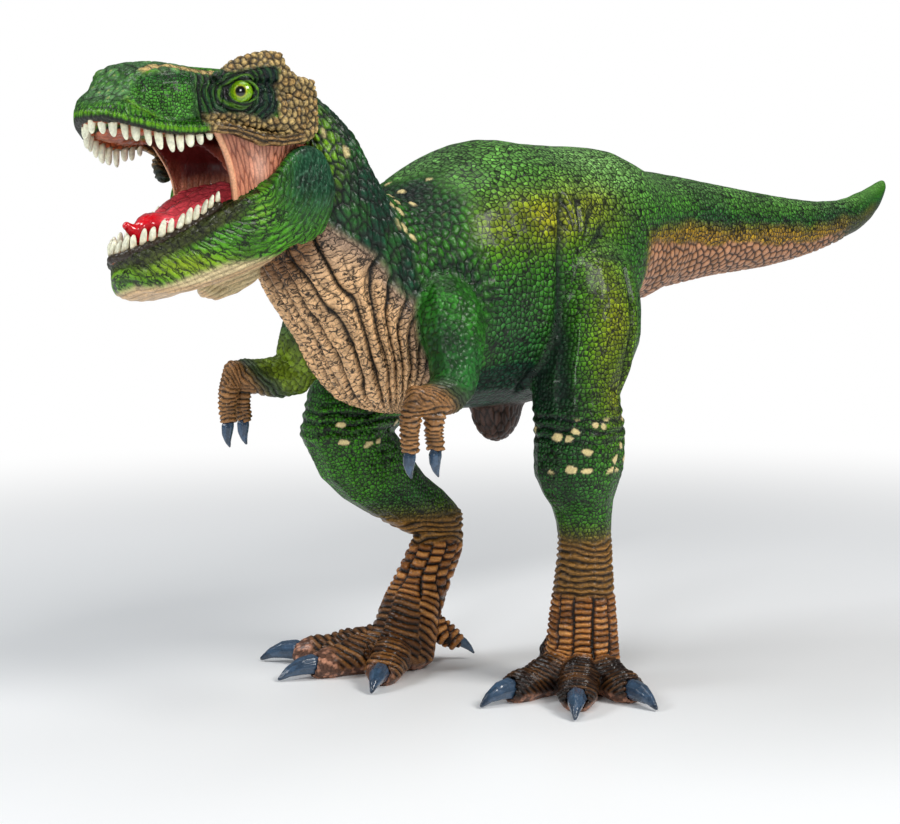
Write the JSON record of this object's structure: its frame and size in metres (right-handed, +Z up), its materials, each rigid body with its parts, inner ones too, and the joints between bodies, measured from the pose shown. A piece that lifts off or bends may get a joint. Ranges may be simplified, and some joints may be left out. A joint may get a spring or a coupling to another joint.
{
  "type": "toy dinosaur figure",
  "caption": "Standing two-legged dinosaur toy with a roaring open mouth, a turning lower jaw, small arms, clawed feet and a raised tail.",
  "frame": {"origin": "middle of the bounding box's underside, on the plane the feet stand on", "axes": "+Z up, -Y forwards (the way the figure faces), +X the figure's own left"},
  "size_m": [0.1008, 0.2822, 0.1398],
  "materials": {
    "skin_green": "hand-painted green vinyl with a dark wash in the scales",
    "skin_brown": "hand-painted tan and brown vinyl with a dark wash in the creases",
    "mouth_flesh": "satin salmon paint",
    "tongue_red": "glossy red paint",
    "tooth_ivory": "satin ivory paint",
    "eye_gloss": "gloss paint, lime iris and black pupil",
    "claw_slate": "gloss slate paint",
    "pin_steel": "plain turned"
  },
  "bodies": {
    "figure": {"torso": "skin_green", "tail": "skin_green", "skull": "skin_green", "throat_lining": "mouth_flesh", "upper_teeth": "tooth_ivory", "jaw_pin": "pin_steel", "left_eye": "eye_gloss", "right_eye": "eye_gloss", "left_leg": "skin_green", "right_leg": "skin_green", "left_arm": "skin_brown", "right_arm": "skin_brown", "left_inner_claw": "claw_slate", "left_middle_claw": "claw_slate", "left_outer_claw": "claw_slate", "left_hallux_claw": "claw_slate", "right_inner_claw": "claw_slate", "right_middle_claw": "claw_slate", "right_outer_claw": "claw_slate", "right_hallux_claw": "claw_slate", "left_front_finger_claw": "claw_slate", "left_rear_finger_claw": "claw_slate", "right_front_finger_claw": "claw_slate", "right_rear_finger_claw": "claw_slate"},
    "jaw": {"lower_jaw": "skin_green", "lower_teeth": "tooth_ivory", "tongue": "tongue_red"}
  },
  "joints": [
    {"name": "jaw_hinge", "type": "hinge", "parent": "figure", "child": "jaw", "pos_m": [-0.00115, -0.09663, 0.113], "axis": [-1, 0, 0], "range_deg": [0, 20]}
  ]
}
